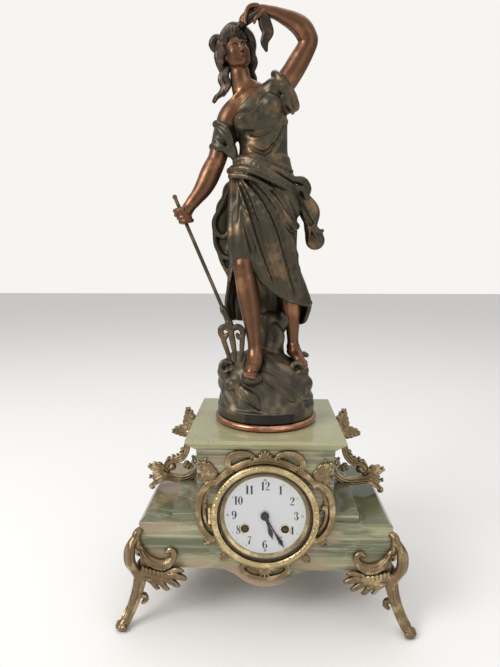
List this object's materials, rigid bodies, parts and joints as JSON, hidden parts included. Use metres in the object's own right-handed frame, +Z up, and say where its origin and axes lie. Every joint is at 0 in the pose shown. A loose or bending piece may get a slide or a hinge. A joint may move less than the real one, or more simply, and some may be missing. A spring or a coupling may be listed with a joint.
{
  "type": "figural mantel clock",
  "caption": "Green onyx mantel clock case on scrolled gilt feet with side handles, a round enamel dial with hinged bezel, a striking movement, and a draped bronze figure with a trident.",
  "frame": {"origin": "centre of the object's box on the table under the soles of the feet", "axes": "+Z up, the dial faces -Y, +X to the viewer's right"},
  "size_m": [0.3384, 0.2144, 0.6923],
  "materials": {
    "onyx": "polished green onyx marble",
    "gilt": "worn antique gilt cast brass",
    "bezel_brass": "polished gilt brass",
    "brass": "machined brass",
    "steel": "polished steel",
    "blued_steel": "blackened steel",
    "enamel": "glazed white enamel",
    "glass": "clear",
    "bronze_skin": "copper brown patinated cast metal",
    "bronze_dress": "dark olive brown patinated cast metal",
    "copper": "copper plated ring",
    "bell_metal": "turned bell metal"
  },
  "bodies": {
    "case": {"onyx_block": "onyx", "onyx_step_slab": "onyx", "onyx_neck": "onyx", "onyx_top_slab": "onyx", "right_handle": "gilt", "left_handle": "gilt", "handle_screws": "steel", "rear_right_foot": "gilt", "rear_left_foot": "gilt", "front_right_foot": "gilt", "front_left_foot": "gilt", "foot_screws": "steel", "dial_surround": "gilt", "bezel_ring": "bezel_brass", "hinge_pins": "steel", "enamel_dial": "enamel", "winding_eyelets": "bezel_brass", "front_plate": "brass", "rear_plate": "brass", "plate_pillars": "brass", "suspension_cock": "brass", "bell": "bell_metal", "bell_stand": "brass", "fixing_straps": "brass", "strap_screws": "steel", "rear_ring": "brass", "plinth_ring": "copper", "rock_base": "bronze_dress", "draped_body": "bronze_dress", "head": "bronze_skin", "raised_arm": "bronze_skin", "lowered_arm": "bronze_skin", "front_leg": "bronze_skin", "rear_leg": "bronze_skin", "trident": "bronze_dress", "nameplate": "bronze_dress", "figure_bolt": "steel"},
    "bezel": {"bezel_frame": "bezel_brass", "bezel_glass": "glass"},
    "back_door": {"rear_door": "brass"},
    "minute": {"minute_hand": "blued_steel", "cannon_pinion": "brass"},
    "motion": {"minute_wheel": "brass"},
    "hour": {"hour_hand": "blued_steel", "hour_wheel": "brass"},
    "going_winder": {"going_winding_arbor": "steel"},
    "strike_winder": {"strike_winding_arbor": "steel"},
    "going_drum": {"going_barrel": "brass"},
    "going_second": {"going_second_wheel": "brass"},
    "centre": {"centre_wheel": "brass"},
    "third": {"third_wheel": "brass"},
    "escape": {"escape_wheel": "brass"},
    "strike_drum": {"strike_barrel": "brass"},
    "strike_second": {"strike_second_wheel": "brass"},
    "pins": {"pin_wheel": "brass"},
    "fan": {"fly": "brass"},
    "anchor": {"anchor_and_crutch": "steel"},
    "pendulum": {"pendulum_rod": "brass", "pendulum_bob": "brass"},
    "striker": {"hammer": "steel"}
  },
  "joints": [
    {"name": "bezel_door_turn", "type": "hinge", "parent": "case", "child": "bezel", "pos_m": [-0.061, -0.0867, 0.132], "axis": [0, 0, -1], "range_deg": [0, 110]},
    {"name": "rear_door_turn", "type": "hinge", "parent": "case", "child": "back_door", "pos_m": [-0.0565, 0.0833, 0.132], "axis": [0, 0, 1], "range_deg": [0, 110]},
    {"name": "minute_hand_turn", "type": "hinge", "parent": "case", "child": "minute", "pos_m": [0, 0, 0.132], "axis": [0, 1, 0], "continuous": true},
    {"name": "minute_wheel_turn", "type": "hinge", "parent": "case", "child": "motion", "pos_m": [-0.00167, 0, 0.12255], "axis": [0, 1, 0], "continuous": true},
    {"name": "hour_hand_turn", "type": "hinge", "parent": "case", "child": "hour", "pos_m": [0, 0, 0.132], "axis": [0, 1, 0], "continuous": true},
    {"name": "going_winding_turn", "type": "hinge", "parent": "case", "child": "going_winder", "pos_m": [0.0222, 0, 0.1162], "axis": [0, 1, 0], "continuous": true},
    {"name": "strike_winding_turn", "type": "hinge", "parent": "case", "child": "strike_winder", "pos_m": [-0.0222, 0, 0.1162], "axis": [0, 1, 0], "continuous": true},
    {"name": "third_wheel_turn", "type": "hinge", "parent": "case", "child": "third", "pos_m": [0, 0, 0.14424], "axis": [0, 1, 0], "continuous": true},
    {"name": "centre_wheel_turn", "type": "hinge", "parent": "case", "child": "centre", "pos_m": [0, 0, 0.132], "axis": [0, 1, 0], "continuous": true},
    {"name": "going_second_wheel_turn", "type": "hinge", "parent": "case", "child": "going_second", "pos_m": [0.0126, 0, 0.1319], "axis": [0, 1, 0], "continuous": true},
    {"name": "going_barrel_turn", "type": "hinge", "parent": "case", "child": "going_drum", "pos_m": [0.0222, 0, 0.1162], "axis": [0, 1, 0], "continuous": true},
    {"name": "escape_wheel_turn", "type": "hinge", "parent": "case", "child": "escape", "pos_m": [0, 0, 0.1558], "axis": [0, 1, 0], "continuous": true},
    {"name": "pin_wheel_turn", "type": "hinge", "parent": "case", "child": "pins", "pos_m": [-0.01908, 0, 0.14621], "axis": [0, 1, 0], "continuous": true},
    {"name": "strike_second_wheel_turn", "type": "hinge", "parent": "case", "child": "strike_second", "pos_m": [-0.0238, 0, 0.13453], "axis": [0, 1, 0], "continuous": true},
    {"name": "strike_barrel_turn", "type": "hinge", "parent": "case", "child": "strike_drum", "pos_m": [-0.0222, 0, 0.1162], "axis": [0, 1, 0], "continuous": true},
    {"name": "fly_turn", "type": "hinge", "parent": "case", "child": "fan", "pos_m": [-0.02079, 0, 0.15592], "axis": [0, 1, 0], "continuous": true},
    {"name": "pendulum_swing", "type": "hinge", "parent": "case", "child": "pendulum", "pos_m": [0, 0, 0.1678], "axis": [0, 1, 0], "range_deg": [-4, 4]},
    {"name": "anchor_rock", "type": "hinge", "parent": "case", "child": "anchor", "pos_m": [0, 0, 0.1678], "axis": [0, 1, 0], "range_deg": [-4, 4]},
    {"name": "hammer_lift", "type": "hinge", "parent": "case", "child": "striker", "pos_m": [-0.037, 0, 0.122], "axis": [0, -1, 0], "range_deg": [0, 14], "stiffness_Nm_per_rad": 0.01}
  ],
  "couplings": [
    {"joint": "minute_wheel_turn", "follows": "minute_hand_turn", "ratio": -0.33333},
    {"joint": "hour_hand_turn", "follows": "minute_hand_turn", "ratio": 0.083333},
    {"joint": "centre_wheel_turn", "follows": "third_wheel_turn", "ratio": -0.125},
    {"joint": "going_second_wheel_turn", "follows": "third_wheel_turn", "ratio": 0.020833},
    {"joint": "going_barrel_turn", "follows": "third_wheel_turn", "ratio": -0.003125},
    {"joint": "escape_wheel_turn", "follows": "third_wheel_turn", "ratio": -7.5},
    {"joint": "strike_second_wheel_turn", "follows": "pin_wheel_turn", "ratio": -0.16667},
    {"joint": "strike_barrel_turn", "follows": "pin_wheel_turn", "ratio": 0.025},
    {"joint": "fly_turn", "follows": "pin_wheel_turn", "ratio": -7.5},
    {"joint": "anchor_rock", "follows": "pendulum_swing", "ratio": 1}
  ]
}
